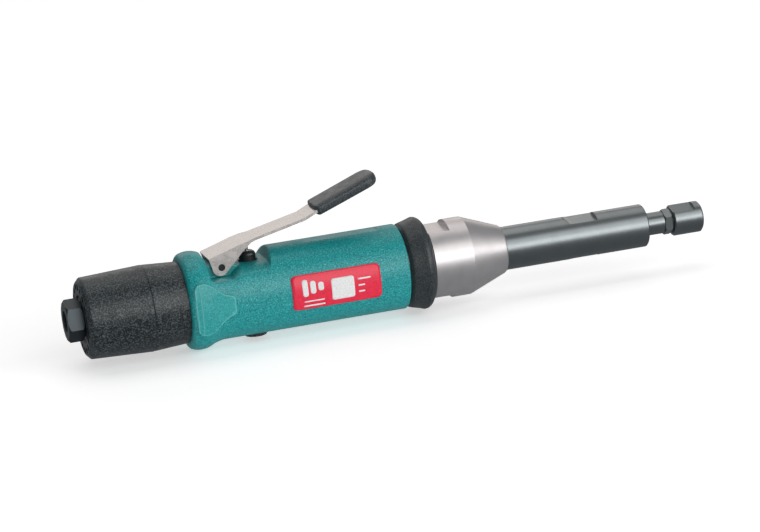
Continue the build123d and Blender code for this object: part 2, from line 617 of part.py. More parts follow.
def all_parts():
    """Every sub-part by its node name."""
    parts = {
        "inlet_bushing": inlet_bushing(),
        "inlet_washer": inlet_washer(),
        "inlet_screen": inlet_screen(),
        "inlet_oring": inlet_oring(),
        "exhaust_cap": exhaust_cap(),
        "muffler_felt": muffler_felt(),
        "cap_ring": cap_ring(),
        "grip_housing": grip_housing(),
        "metal_core": metal_core(),
        "name_plate": name_plate(),
        "valve_bushing": valve_bushing(),
        "valve_seat": valve_seat(),
        "valve_stem": valve_stem(),
        "valve_head": valve_head(),
        "valve_spring": valve_spring(),
        "regulator": regulator(),
        "regulator_oring": regulator_oring(),
        "lever": lever(),
        "lever_sleeve": lever_sleeve(),
        "lever_pin": lever_pin(),
        "nose_ring": nose_ring(),
        "nose_collar": nose_collar(),
        "extension_tube": extension_tube(),
        "motor_cylinder": motor_cylinder(),
        "rotor": rotor(),
        "rear_end_plate": end_plate(110.1, 117.0, 7.5, 111.0, 116.2, 3.4),
        "front_end_plate": end_plate(155.0, 163.0, 9.5, 157.0, 163.5, 5.4),
        "clamp_ring": clamp_ring(),
        "shaft_coupling": shaft_coupling(),
        "extension_spindle": extension_spindle(),
        "spindle_seal": spindle_seal(),
        "collet_holder": collet_holder(),
        "collet": collet(),
        "collet_nut": collet_nut(),
    }
    for index in range(VANES):
        parts[f"vane_{index + 1}"] = vane(index)
    bearings = {
        "motor_rear": bearing(111.1, 5.0, 3.0, 7.5, 7),
        "motor_front": bearing(157.1, 5.0, 5.0, 9.5, 9),
        "spindle_rear": bearing(204.9, 5.0, SPINDLE_R, 8.0, 8),
        "spindle_front": bearing(299.9, 5.0, SPINDLE_R, 8.0, 8),
    }
    for place, pieces in bearings.items():
        for piece, shape in pieces.items():
            parts[f"{place}_{piece}"] = shape
    return parts


os.makedirs("parts", exist_ok=True)
for node, shape in all_parts().items():
    export_step(shape, f"parts/{node}.step")
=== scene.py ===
# %% [markdown]
# # An air die grinder, dressed for the studio
# The CAD model fixes every size, place and joint. This lesson adds the looks: surfaces with soft
# moulded edges where the plain solids are too crisp, and a finish for every piece.
# The frame is in metres. +X runs along the spindle to the collet and +Z is the lever's side.

# %% Load the frame
import json
import bpy
import numpy as np
from mathutils import Matrix, Vector


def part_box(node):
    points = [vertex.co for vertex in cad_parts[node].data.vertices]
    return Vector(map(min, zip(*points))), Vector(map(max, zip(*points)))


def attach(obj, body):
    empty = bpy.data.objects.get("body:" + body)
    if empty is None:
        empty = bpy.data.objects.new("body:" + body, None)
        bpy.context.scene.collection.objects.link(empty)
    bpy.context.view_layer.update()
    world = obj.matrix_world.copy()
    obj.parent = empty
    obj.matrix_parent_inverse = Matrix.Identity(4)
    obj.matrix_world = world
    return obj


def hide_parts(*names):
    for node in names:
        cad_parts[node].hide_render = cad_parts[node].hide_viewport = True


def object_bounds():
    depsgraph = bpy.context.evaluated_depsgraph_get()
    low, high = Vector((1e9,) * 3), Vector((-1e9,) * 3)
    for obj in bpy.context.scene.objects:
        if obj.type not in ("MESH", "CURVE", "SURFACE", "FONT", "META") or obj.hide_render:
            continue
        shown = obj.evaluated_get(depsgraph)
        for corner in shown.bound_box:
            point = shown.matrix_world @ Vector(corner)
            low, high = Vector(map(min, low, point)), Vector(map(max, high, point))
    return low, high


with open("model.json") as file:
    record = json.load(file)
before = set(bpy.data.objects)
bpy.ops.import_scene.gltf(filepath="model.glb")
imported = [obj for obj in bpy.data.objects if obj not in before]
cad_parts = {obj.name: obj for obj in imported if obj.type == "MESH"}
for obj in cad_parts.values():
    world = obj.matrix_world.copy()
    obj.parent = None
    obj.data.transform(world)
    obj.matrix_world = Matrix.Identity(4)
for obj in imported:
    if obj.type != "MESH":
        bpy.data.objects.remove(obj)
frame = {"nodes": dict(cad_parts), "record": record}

MM = 0.001
cad_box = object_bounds()
print("CAD box in millimetres:", [[round(v / MM, 1) for v in corner] for corner in cad_box])

# %% [markdown]
# ## Sizes from the frame
# The lesson works in millimetres and reads its stations from the CAD nodes, so that a new pack
# moves the looks along with the frame.

# %% Read the stations


def span(node, axis=0):
    """Lowest and highest coordinate of a CAD node along one axis, in millimetres."""
    low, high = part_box(node)
    return low[axis] / MM, high[axis] / MM


RING_SPAN = span("nose_ring")
RING_R = span("nose_ring", 2)[1]
GRIP_SPAN = (span("cap_ring")[1] + 0.1, span("grip_housing")[1])
PLATE_SPAN = span("name_plate")
PLATE_HALF = span("name_plate", 2)[1]
VALVE_X = sum(span("valve_bushing")) / 2
PIN_X = sum(span("lever_pin")) / 2
PIN_Z = sum(span("lever_pin", 2)) / 2
print("grip from", GRIP_SPAN, "valve at", round(VALVE_X, 1), "pin at", round(PIN_X, 1), round(PIN_Z, 1))

# %% [markdown]
# ## Grids
# Every new surface is a grid of points: one parameter runs along the piece and the other goes round
# it. The helper joins the rows with quads. A closed row comes back to its first point, and closed
# columns make a torus-like skin, which leaves no open edge.

# %% A mesh from a grid of points


def skin(name, points, close_rows=True, close_columns=False):
    """A smooth mesh from points[row, step] in millimetres, with a quad between four neighbours."""
    rows, steps = points.shape[:2]
    row = np.arange(rows if close_columns else rows - 1)
    step = np.arange(steps if close_rows else steps - 1)
    i, j = (a.ravel() for a in np.meshgrid(row, step, indexing="ij"))
    below, beside = (i + 1) % rows, (j + 1) % steps
    faces = np.stack([i * steps + j, i * steps + beside, below * steps + beside, below * steps + j], 1)
    mesh = bpy.data.meshes.new(name)
    mesh.vertices.add(rows * steps)
    mesh.vertices.foreach_set("co", (points.reshape(-1, 3) * MM).astype(np.float32).ravel())
    mesh.loops.add(faces.size)
    mesh.loops.foreach_set("vertex_index", faces.astype(np.int32).ravel())
    mesh.polygons.add(len(faces))
    mesh.polygons.foreach_set("loop_start", np.arange(0, faces.size, 4, dtype=np.int32))
    mesh.polygons.foreach_set("use_smooth", np.ones(len(faces), bool))
    mesh.update(calc_edges=True)
    mesh.validate()
    piece = bpy.data.objects.new(name, mesh)
    bpy.context.scene.collection.objects.link(piece)
    return piece


def weld(piece):
    """Merge points that fall together, as at a pole, and turn all faces outwards."""
    import bmesh
    shape = bmesh.new()
    shape.from_mesh(piece.data)
    bmesh.ops.remove_doubles(shape, verts=shape.verts, dist=1e-7)
    bmesh.ops.recalc_face_normals(shape, faces=shape.faces)
    shape.to_mesh(piece.data)
    shape.free()
    print(piece.name, len(piece.data.vertices), "points", len(piece.data.polygons), "faces")
    return piece


def lathe(name, profile, steps=160):
    """A closed ring about X: each (x, radius) point of the closed profile goes round in a circle."""
    profile = np.array(profile, float)
    turn = np.linspace(0, 2 * np.pi, steps, endpoint=False)
    x = np.repeat(profile[:, :1], steps, 1)
    points = np.stack([x, profile[:, 1:] * np.cos(turn), profile[:, 1:] * np.sin(turn)], -1)
    return weld(skin(name, points, close_columns=True))


def soft_step(value, low, high):
    """0 below low, 1 above high, and the cubic 3t^2 - 2t^3 between them."""
    t = np.clip((value - low) / (high - low), 0, 1)
    return t * t * (3 - 2 * t)


def soft_min(a, b, width):
    """The smaller of a and b, with the corner between them rounded over the given width."""
    h = np.clip(0.5 + 0.5 * (b - a) / width, 0, 1)
    return b + (a - b) * h - width * h * (1 - h)


def soft_max(a, b, width):
    """The larger of a and b, with a rounded corner."""
    return -soft_min(-a, -b, width)


# %% [markdown]
# ## The grip
# The real grip is a moulded composite shell: a straight barrel that swells behind the lever, a
# pocket on top for the lever's ears and the valve, and a raised wing on each side. Every corner has
# a moulding radius, which catches the light. A boolean model would need each of those corners
# bevelled. A radius given for every station x and every angle round the tool makes them all at
# once, because soft minimum and soft maximum round wherever two shapes meet.

# %% The grip's radius as a function of two parameters
GRIP_R = 22.0
BULGE_X, BULGE_R = 66.3, 25.2
CREST_ARC, BLEND_ARC = 12.0, 18.0
REAR_LIP, FRONT_LIP = 1.9, 0.9
POCKET_REAR, POCKET_FLOOR, VALVE_FLOOR, POCKET_FRONT = 72.3, 11.9, 16.4, 106.8
WING_ARC, WING_CENTRE = 45.0, 19.8
WING_REAR, WING_FRONT = 62.2, 83.2
RAMP_SPAN = (84.5, 90.0)          # the pocket's floor climbs here from the ears to the valve
BOSS_FRONT, BOSS_HALF = 90.5, 7.75
ABOVE_GRIP, OPEN_SKY = 27.0, 60.0  # heights that clear the shell, where nothing is cut
CORE_REAR_R, CORE_R = 13.06, 19.06  # lining, just outside the metal core


def barrel(x):
    """Crest arc, then a hollow arc tangent to it and to the straight barrel, then the barrel."""
    crest_z = BULGE_R - CREST_ARC
    run = np.sqrt((CREST_ARC + BLEND_ARC) ** 2 - (GRIP_R + BLEND_ARC - crest_z) ** 2)
    meeting, hollow_x = BULGE_X + run * CREST_ARC / (CREST_ARC + BLEND_ARC), BULGE_X + run
    crest = crest_z + np.sqrt(np.maximum(CREST_ARC ** 2 - (x - BULGE_X) ** 2, 0))
    hollow = GRIP_R + BLEND_ARC - np.sqrt(np.maximum(BLEND_ARC ** 2 - (x - hollow_x) ** 2, 0))
    radius = np.where(x < meeting, crest, np.where(x < hollow_x, hollow, GRIP_R))
    front = np.clip(x - (GRIP_SPAN[1] - FRONT_LIP), 0, FRONT_LIP)
    rear = np.clip(GRIP_SPAN[0] + REAR_LIP - x, 0, REAR_LIP)
    radius = radius - (FRONT_LIP - np.sqrt(FRONT_LIP ** 2 - front ** 2))
    return radius - (REAR_LIP - np.sqrt(REAR_LIP ** 2 - rear ** 2))


def rounded_line(x, corners, window):
    """A broken line through the corners, averaged over a short window so that it bends softly."""
    offsets = np.linspace(-window / 2, window / 2, 9)
    xs, zs = np.array(corners, float).T
    return np.mean([np.interp(x + shift, xs, zs) for shift in offsets], 0)


def wing_radius(turn, x):
    """The wing's face: an arc flatter than the barrel, no further out than its widest allowed y."""
    side = np.abs(np.cos(turn))
    reach = WING_CENTRE * side
    face = np.sqrt(reach ** 2 + WING_ARC ** 2 - WING_CENTRE ** 2) - reach
    width = np.interp(x, [61.2, 62.2, 65.3, 67.3, 72.0, 83.2], [24.2, 24.5, 25.2, 25.35, 24.85, 22.9])
    return soft_min(face, width / np.maximum(side, 0.3), 0.3)


def wing_inside(x, turn):
    """How far a point lies inside the wing's outline, in millimetres; outside it is negative."""
    outline = rounded_line(x, [(WING_REAR, 11.2), (64.0, 13.2), (67.2, 13.8), (70.6, 12.6), (74.0, 9.3),
                               (77.8, 6.5), (WING_FRONT, 4.6)], 1.4)
    height = outline - np.abs(wing_radius(turn, x) * np.sin(turn))
    return soft_min(height, np.minimum(x - WING_REAR, WING_FRONT - x), 1.6)


def pocket_radius(x, turn):
    """The pocket's floor and end walls, with the pin boss left standing in it."""
    side, up = np.abs(np.cos(turn)), np.sin(turn)
    floor = rounded_line(x, [
        (POCKET_REAR - 0.6, ABOVE_GRIP), (POCKET_REAR + 0.1, POCKET_FLOOR + 1.6),
        (POCKET_REAR + 1.8, POCKET_FLOOR), (RAMP_SPAN[0], POCKET_FLOOR),
        (RAMP_SPAN[1], VALVE_FLOOR + 0.2), (POCKET_FRONT - 2.5, VALVE_FLOOR + 0.2),
        (POCKET_FRONT, 22.5), (108.6, ABOVE_GRIP)], 1.0)
    boss = rounded_line(x, [
        (POCKET_REAR, PIN_Z + 1.0), (PIN_X - 3.4, PIN_Z + 2.8), (PIN_X + 2.2, PIN_Z + 3.2),
        (PIN_X + 5.0, PIN_Z + 0.8), (BOSS_FRONT, VALVE_FLOOR - 0.5)], 1.6)
    boss = np.where(x < BOSS_FRONT, boss, 0.0)
    raised = soft_min(boss / np.maximum(up, 0.05), BOSS_HALF / np.maximum(side, 0.02), 0.8)
    pocket = soft_max(floor / np.maximum(up, 0.05), raised, 0.6)
    return np.minimum(np.where(up > 0.1, pocket, OPEN_SKY), OPEN_SKY)


def grip_radius(x, turn):
    """Barrel or wing, cut down to the land and the pocket; the pocket's rim is widest at the valve."""
    up = np.sin(turn)
    body, inside = barrel(x), wing_inside(x, turn)
    rim = 0.16 * np.exp(-((inside - 0.55) / 0.35) ** 2)
    raised = wing_radius(turn, x) + rim - 0.12 * np.exp(-((x - WING_REAR - 2.3) / 0.2) ** 2)
    body = body + np.maximum(raised - body, 0.25) * soft_step(inside, -0.3, 0.35)
    land = 21.55 / np.maximum(up, 0.05) + 40 * soft_step(np.abs(x - 145.0), 19.6, 20.4)
    body = soft_min(body, land, 0.12)
    softness = np.interp(x, [73.0, 84.0, 91.0, 102.0, 106.0, 108.0], [0.9, 1.2, 8.0, 8.0, 1.6, 1.0])
    return soft_min(body, pocket_radius(x, turn), softness)


# %% Make the grip's skin


def spaced(*stops):
    """Stations between stops of (position, steps up to the next one), with the last stop included."""
    runs = [np.linspace(a[0], b[0], a[1], endpoint=False) for a, b in zip(stops, stops[1:])]
    return np.concatenate(runs + [[stops[-1][0]]])


rear_edge = GRIP_SPAN[0] + REAR_LIP * (1 - np.cos(np.linspace(0, np.pi / 2, 8)))[:-1]
front_edge = GRIP_SPAN[1] - FRONT_LIP * np.cos(np.linspace(0, np.pi / 2, 7))
stations = np.concatenate([rear_edge, spaced(
    (GRIP_SPAN[0] + REAR_LIP, 14), (64.2, 3), (64.8, 16), (71.2, 26), (75.0, 30), (82.6, 8), (84.0, 22),
    (92.0, 16), (102.5, 34), (108.6, 12), (124.2, 8), (126.0, 16), (163.8, 8), (166.0, 6), (173.0, 1),
    (173.6, 1)), front_edge])
quarter = np.radians(spaced((-90, 20), (-38, 40), (-8, 8), (8, 40), (38, 12), (48, 62), (90, 1)))
turns = np.concatenate([quarter[:-1], np.pi - quarter[:0:-1]])
grid_x, grid_turn = np.meshgrid(stations, turns, indexing="ij")
radius = grip_radius(grid_x, grid_turn)
inside = wing_inside(grid_x, grid_turn)
# Painted light on the wings: a painted highlight along the rim and in a line beside the small groove near
# the rear, and a lighter painted tone over the flat face where it meets the lamps. Both are kept as point
# attributes for the teal finish.
edge_highlight = np.exp(-((inside - 0.35) / 0.45) ** 2)
rear_highlight = 0.5 * np.exp(-((grid_x - WING_REAR - 3.0) / 0.3) ** 2) * (inside > 0.5)
painted_rim_highlight = edge_highlight + rear_highlight
painted_face_light = soft_step(inside, 0.3, 1.2)
lining = [(GRIP_SPAN[1], CORE_R), (107.2, CORE_R), (106.9, CORE_REAR_R), (GRIP_SPAN[0], CORE_REAR_R)]
grid_x = np.vstack([grid_x] + [np.full((1, len(turns)), x) for x, _ in lining])
radius = np.vstack([radius] + [np.full((1, len(turns)), r) for _, r in lining])
grid_turn = np.vstack([grid_turn, np.repeat(turns[None], len(lining), 0)])
grip_points = np.stack([grid_x, radius * np.cos(grid_turn), radius * np.sin(grid_turn)], -1)
grip = skin("grip_shell", grip_points, close_columns=True)
for title, values in (("wing_rim_highlight", painted_rim_highlight), ("wing_face_light", painted_face_light)):
    values = np.vstack([values, np.zeros((len(lining), len(turns)))]).astype(np.float32)
    grip.data.attributes.new(title, "FLOAT", "POINT").data.foreach_set("value", values.ravel())
weld(grip)
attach(grip, "housing")
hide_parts("grip_housing")

# %% [markdown]
# ## The rubber ring at the nose
# A soft ring cushions the joint between grip and collar. Its section starts with a narrow groove,
# flares to a crest and turns down in a large round shoulder. A lathe does it: one closed outline,
# carried round the spindle.

# %% Make the nose ring
ring_seat, ring_rear = 19.06, RING_SPAN[0]
crest_x, crest_r = 184.8, RING_R - 0.02
GROOVE_R = 20.6
flare_x = np.linspace(ring_rear + 1.4, crest_x, 22)
share = (flare_x - flare_x[0]) / (crest_x - flare_x[0])
flare_r = 21.9 + (crest_r - 21.9) * (0.72 * share + 0.28 * share ** 2)
shoulder = np.sin(np.linspace(0.12, np.pi / 2, 14))
shoulder_x = crest_x + (RING_SPAN[1] - crest_x) * shoulder
shoulder_r = crest_r - 3.4 * (1 - np.sqrt(1 - shoulder ** 2))
ring_outline = [(ring_rear, ring_seat), (ring_rear, GROOVE_R), (ring_rear + 1.25, GROOVE_R),
                (ring_rear + 1.33, 21.6),
                *zip(flare_x, flare_r - 0.25 * np.exp(-share * 14)), *zip(shoulder_x, shoulder_r),
                (RING_SPAN[1], ring_seat)]
nose_ring = lathe("nose_ring_soft", ring_outline, 200)
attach(nose_ring, "housing")
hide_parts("nose_ring")

# %% [markdown]
# ## The lever's sleeve
# The sleeve is dipped rubber: thick over the flat steel, with no sharp edge anywhere and a neck
# where the rubber thins out. Its section is a superellipse, which is a rounded rectangle with one
# exponent, and its width and thickness follow a rounded law at both ends.

# %% Make the sleeve
SLOPE = np.radians(20.6)
sleeve_low, sleeve_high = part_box("lever_sleeve")
SLEEVE_LENGTH, SLEEVE_HALF, SLEEVE_THICK = 36.9, (sleeve_high[1] - sleeve_low[1]) / 2 / MM, 3.08
along = SLEEVE_LENGTH * (1 - np.cos(np.linspace(0, np.pi, 72))) / 2
round_turn = np.linspace(0, 2 * np.pi, 96, endpoint=False)


def end_round(s, rear, front):
    """1 along the middle, falling to 0 at both ends like a quarter ellipse of the given lengths."""
    near = np.clip(1 - s / rear, 0, 1)
    far = np.clip(1 - (SLEEVE_LENGTH - s) / front, 0, 1)
    return np.sqrt(1 - near ** 2) * np.sqrt(1 - far ** 2)


def superellipse(turn, exponent):
    """Cosine and sine with their size raised to 2/exponent: 2 is a circle, more is squarer."""
    c, s = np.cos(turn), np.sin(turn)
    return np.sign(c) * np.abs(c) ** (2 / exponent), np.sign(s) * np.abs(s) ** (2 / exponent)


across, over = superellipse(round_turn, 4.2)
half_width = (SLEEVE_HALF - 0.25 * (1 - along / SLEEVE_LENGTH)) * end_round(along, 2.4, 7.5)
half_thick = (SLEEVE_THICK - 0.15 * (1 - along / SLEEVE_LENGTH)) * end_round(along, 1.8, 3.4)
sag = 0.04 * np.sin(along / SLEEVE_LENGTH * np.pi)
local = np.stack([np.repeat(along[:, None], 96, 1), half_width[:, None] * across[None],
                  half_thick[:, None] * over[None] - sag[:, None]], -1)
LEVER_LINE = [(74.3, 22.1), (91.0, 17.0), (126.0, 12.5), (131.5, 25.0)]
bend_z = LEVER_LINE[0][1]
for (start_x, _), (end_x, slope) in zip(LEVER_LINE, LEVER_LINE[1:]):
    bend_z += (end_x - start_x) * np.tan(np.radians(slope))
ahead, down = np.array([np.cos(SLOPE), 0, np.sin(SLOPE)]), np.array([np.sin(SLOPE), 0, -np.cos(SLOPE)])
SLEEVE_START = np.array([LEVER_LINE[-1][0], 0, bend_z]) + 0.35 * ahead + 0.7 * down
tilt = np.array([[np.cos(SLOPE), 0, -np.sin(SLOPE)], [0, 1, 0], [np.sin(SLOPE), 0, np.cos(SLOPE)]])
sleeve = weld(skin("lever_sleeve_soft", local @ tilt.T + SLEEVE_START))
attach(sleeve, "lever")
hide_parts("lever_sleeve")

# %% [markdown]
# ## The name plate
# The plate is a thin printed sheet wrapped round the grip. It carries a blank window and plain
# marks, with no lettering. Each print is a rounded rectangle shrunk ring by ring to its centre and
# then wrapped onto a cylinder, so its edge is exact at any size.

# %% A rounded patch wrapped on the grip


def rounded_rectangle(half, corner, steps):
    """Points at even steps along a rounded rectangle: four straight edges joined by quarter circles."""
    quarter = np.linspace(0, np.pi / 2, 12)
    turn = np.concatenate([quarter + k * np.pi / 2 for k in range(4)])
    sign_x = np.repeat([1, -1, -1, 1], 12)
    sign_z = np.repeat([1, 1, -1, -1], 12)
    outline = np.stack([sign_x * (half[0] - corner) + corner * np.cos(turn),
                        sign_z * (half[1] - corner) + corner * np.sin(turn)], 1)
    outline = np.vstack([outline, outline[:1]])
    walked = np.concatenate([[0], np.cumsum(np.hypot(*np.diff(outline, axis=0).T))])
    even = np.linspace(0, walked[-1], steps, endpoint=False)
    return np.stack([np.interp(even, walked, outline[:, k]) for k in range(2)], 1)


def patch(name, centre, half, corner, outer, inner, rings=10, steps=96):
    """Rings of a rounded rectangle, shrunk to the middle and wrapped on a cylinder: the height up the
    patch divided by the radius is the angle on the grip's near side. A rim goes down to the inner
    radius."""
    edge = rounded_rectangle(half, corner, steps)
    shrink = np.linspace(1, 0, rings)
    scale = np.concatenate([shrink[::-1], [1.0], shrink])
    level = np.concatenate([np.full(rings, inner), [outer - 0.06], np.full(rings, outer)])
    flat = edge[None] * scale[:, None, None]
    x = centre[0] + flat[..., 0]
    angle = (centre[1] + flat[..., 1]) / outer
    points = np.stack([x, -level[:, None] * np.cos(angle), level[:, None] * np.sin(angle)], -1)
    return weld(skin(name, points))


PRINT_TOP, PRINT_FOOT = 22.335, 22.2   # radii of the ink, which stands on the plate at 22.30
plate_centre = sum(PLATE_SPAN) / 2
plate_half = ((PLATE_SPAN[1] - PLATE_SPAN[0]) / 2, 22.3 * np.arcsin(PLATE_HALF / 22.4))
plate = patch("plate_face", (plate_centre, 0.0), plate_half, 2.4, 22.30, 21.9, 14, 160)
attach(plate, "housing")
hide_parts("name_plate")
prints = [patch("plate_window", (plate_centre + 3.2, -0.7), (6.0, 5.65), 1.2, PRINT_TOP, PRINT_FOOT)]
for line, length in enumerate((7.0, 3.6, 3.4)):
    place = (plate_centre + 11.1 + length / 2, 2.7 - 3.3 * line)
    half = (length / 2, 0.42)
    prints.append(patch(f"plate_rule_{line + 1}", place, half, 0.4, PRINT_TOP, PRINT_FOOT, 3, 32))
for line, (length, height) in enumerate(((11.0, 0.35), (11.6, 0.42))):
    place = (plate_centre - 12.2, -4.9 - 2.5 * line)
    half = (length / 2, height)
    prints.append(patch(f"plate_line_{line + 1}", place, half, 0.3, PRINT_TOP, PRINT_FOOT, 3, 32))
for index in range(3):
    place = (plate_centre - 16.4 + 4.1 * index, 2.2)
    bar = (1.45, 4.4 - 1.1 * index)
    prints.append(patch(f"plate_bar_{index + 1}", place, bar, 1.2, PRINT_TOP, PRINT_FOOT, 5, 48))
for piece in prints:
    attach(piece, "housing")

# %% [markdown]
# ## The thread in the air inlet
# The hose fitting screws into a pipe thread, whose ridges show inside the hexagon. The radius of
# the bore goes in and out along a helix: the depth depends on x divided by the pitch, less the turn.

# %% Make the inlet thread
PITCH, BORE_R, DEPTH = 1.411, 5.56, 0.55
thread_x = np.linspace(0.35, 12.6, 104)
thread_turn = np.linspace(0, 2 * np.pi, 96, endpoint=False)
tx, tt = np.meshgrid(thread_x, thread_turn, indexing="ij")
phase = (tx / PITCH - tt / (2 * np.pi)) % 1
ridge = BORE_R - 0.03 - DEPTH * (1 - np.abs(2 * phase - 1)) * soft_step(tx, 0.3, 2.2)
back = np.full_like(tx[:1], BORE_R + 0.02)
tx = np.vstack([tx, tx[-1:], tx[:1]])
tt = np.vstack([tt, tt[:1], tt[:1]])
ridge = np.vstack([ridge, back, back])
thread_points = np.stack([tx, ridge * np.cos(tt), ridge * np.sin(tt)], -1)
thread = weld(skin("inlet_thread", thread_points, close_columns=True))
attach(thread, "housing")

# %% [markdown]
# ## Finishes
# Each finish starts from the Principled shader and adds what the hand would feel: moulded grain,
# turning marks or speckle. Patterns read Object coordinates in metres, so a noise scale of 2000
# gives grains of about half a millimetre on every piece alike.

# %% Shader helpers


def finish(name, color, roughness, metallic=0.0, **sockets):
    """A new material with a Principled shader, its node tree and its Object coordinates."""
    material = bpy.data.materials.new(name)
    material.use_nodes = True
    tree = material.node_tree
    shader = tree.nodes["Principled BSDF"]
    shader.inputs["Base Color"].default_value = (*color, 1)
    shader.inputs["Roughness"].default_value = roughness
    shader.inputs["Metallic"].default_value = metallic
    for socket, value in sockets.items():
        shader.inputs[socket.replace("_", " ")].default_value = value
    place = tree.nodes.new("ShaderNodeTexCoord").outputs["Object"]
    return material, tree, shader, place


def noise(tree, place, scale, stretch=(1, 1, 1), detail=3.0):
    """Noise over the place, stretched by a Mapping node, as a value from 0 to 1."""
    mapping = tree.nodes.new("ShaderNodeMapping")
    mapping.inputs["Scale"].default_value = stretch
    texture = tree.nodes.new("ShaderNodeTexNoise")
    texture.inputs["Scale"].default_value = scale
    texture.inputs["Detail"].default_value = detail
    tree.links.new(place, mapping.inputs["Vector"])
    tree.links.new(mapping.outputs["Vector"], texture.inputs["Vector"])
    return texture.outputs["Fac"]


def ramp(tree, value, stops):
    """Colours spread over a value: stops are (position, colour)."""
    node = tree.nodes.new("ShaderNodeValToRGB")
    elements = node.color_ramp.elements
    while len(elements) < len(stops):
        elements.new(0.5)
    for element, (position, color) in zip(elements, stops):
        element.position = position
        element.color = (*color, 1)
    tree.links.new(value, node.inputs["Fac"])
    return node.outputs["Color"]


def vary(tree, value, low, high, socket):
    """Spread a 0 to 1 value between low and high and feed it to a socket."""
    node = tree.nodes.new("ShaderNodeMapRange")
    node.inputs["From Min"].default_value = 0.3
    node.inputs["From Max"].default_value = 0.7
    node.inputs["To Min"].default_value = low
    node.inputs["To Max"].default_value = high
    tree.links.new(value, node.inputs["Value"])
    tree.links.new(node.outputs["Result"], socket)


def bump(tree, shader, *layers):
    """Chain of bumps: each layer is (height value, distance in metres, strength)."""
    normal = None
    for height, distance, strength in layers:
        node = tree.nodes.new("ShaderNodeBump")
        node.inputs["Distance"].default_value = distance
        node.inputs["Strength"].default_value = strength
        tree.links.new(height, node.inputs["Height"])
        if normal:
            tree.links.new(normal, node.inputs["Normal"])
        normal = node.outputs["Normal"]
    tree.links.new(normal, shader.inputs["Normal"])


# %% [markdown]
# ### Moulded composite
# The teal grip is a glass-filled nylon: satin, with a fine pale speckle of fibre at the surface and
# a slightly uneven gloss where it has been handled.

# %% Teal composite


def teal_composite():
    """Teal with a two-scale speckle, a leathery micro bump, uneven gloss, and painted light on the wings:
    a painted highlight along the rim and a lighter painted tone over the face, read from the attributes
    that the grip's grid carries."""
    material, tree, shader, place = finish("teal_composite", (0.0, 0.2, 0.21), 0.42)
    speckle = noise(tree, place, 1700, detail=4.0)
    color = ramp(tree, speckle, [(0.34, (0.0, 0.13, 0.145)), (0.48, (0.0, 0.24, 0.25)),
                                 (0.58, (0.008, 0.31, 0.31)), (0.70, (0.07, 0.46, 0.45))])
    # Painted light: the lighter face colour stands for light on the flat wing, and the rim colour is a
    # painted highlight along its edge.
    painted_lights = (("wing_face_light", (0.03, 0.34, 0.32), 0.35), ("wing_rim_highlight", (0.14, 0.50, 0.48), 0.7))
    for title, lit_tone, share in painted_lights:
        value = tree.nodes.new("ShaderNodeAttribute")
        value.attribute_name = title
        amount = tree.nodes.new("ShaderNodeMath")
        amount.operation = "MULTIPLY"
        amount.inputs[1].default_value = share
        mix = tree.nodes.new("ShaderNodeMix")
        mix.data_type = "RGBA"            # its colour sockets are inputs 6 and 7 and output 2
        tree.links.new(value.outputs["Fac"], amount.inputs[0])
        tree.links.new(amount.outputs["Value"], mix.inputs[0])
        tree.links.new(color, mix.inputs[6])
        mix.inputs[7].default_value = (*lit_tone, 1)
        color = mix.outputs[2]
    tree.links.new(color, shader.inputs["Base Color"])
    vary(tree, noise(tree, place, 180), 0.34, 0.45, shader.inputs["Roughness"])
    bump(tree, shader, (noise(tree, place, 900, detail=2.0), 0.00006, 0.35), (speckle, 0.00007, 0.5))
    return material


TEAL = teal_composite()
print("teal composite ready")

# %% [markdown]
# ### Black plastic and rubber
# The cap is grained black plastic. The rings and the sleeve are rubber, which is rougher, greyer and
# never quite smooth.

# %% Black mouldings


def grained(name, color, rough, grain, depth, speckle=1.0):
    """Dark moulding: a fine grain in the bump, speckled colour and uneven roughness."""
    material, tree, shader, place = finish(name, color, rough)
    light = tuple(min(1.0, c * (1 + 2.6 * speckle) + 0.01 * speckle) for c in color)
    dark = tuple(c * (1 - 0.88 * speckle) for c in color)
    speck = noise(tree, place, grain, detail=4.0)
    speckled = ramp(tree, speck, [(0.40, dark), (0.50, color), (0.62, light)])
    tree.links.new(speckled, shader.inputs["Base Color"])
    vary(tree, noise(tree, place, 220), rough - 0.06, rough + 0.08, shader.inputs["Roughness"])
    bump(tree, shader, (speck, depth, 0.5), (noise(tree, place, grain * 0.4), depth * 1.5, 0.25))
    return material


CAP_BLACK = grained("cap_black", (0.014, 0.019, 0.021), 0.36, 1400, 0.00026)
RING_BLACK = grained("ring_black", (0.020, 0.026, 0.028), 0.40, 1700, 0.00014, 0.4)
SLEEVE_BLACK = grained("sleeve_black", (0.024, 0.032, 0.035), 0.36, 1500, 0.00014, 0.5)
SEAL_BLACK = grained("seal_black", (0.012, 0.012, 0.013), 0.55, 1400, 0.00004)
print("black mouldings ready")

# %% [markdown]
# ### Turned and ground metal
# A lathe leaves rings square to the spindle. Noise that is squeezed along X and stretched across it
# gives the same fine rings on every turned part, in the bump and in the roughness.

# %% Metals


def turned_metal(name, color, rough, rings=1.0, metallic=1.0, marks=2600.0):
    """Metal with turning rings: noise that changes fast along X and slowly across."""
    material, tree, shader, place = finish(name, color, rough, metallic)
    ring = noise(tree, place, marks, (1, 0.02, 0.02), 5.0)
    cloud = noise(tree, place, 120, detail=4.0)
    shade = tuple(c * 0.94 for c in color)
    tree.links.new(ramp(tree, cloud, [(0.35, shade), (0.60, color)]), shader.inputs["Base Color"])
    vary(tree, ring, rough - 0.02, rough + 0.03, shader.inputs["Roughness"])
    bump(tree, shader, (ring, 0.00001 * rings, 0.5), (noise(tree, place, 900, detail=3.0), 0.00002, 0.25))
    return material


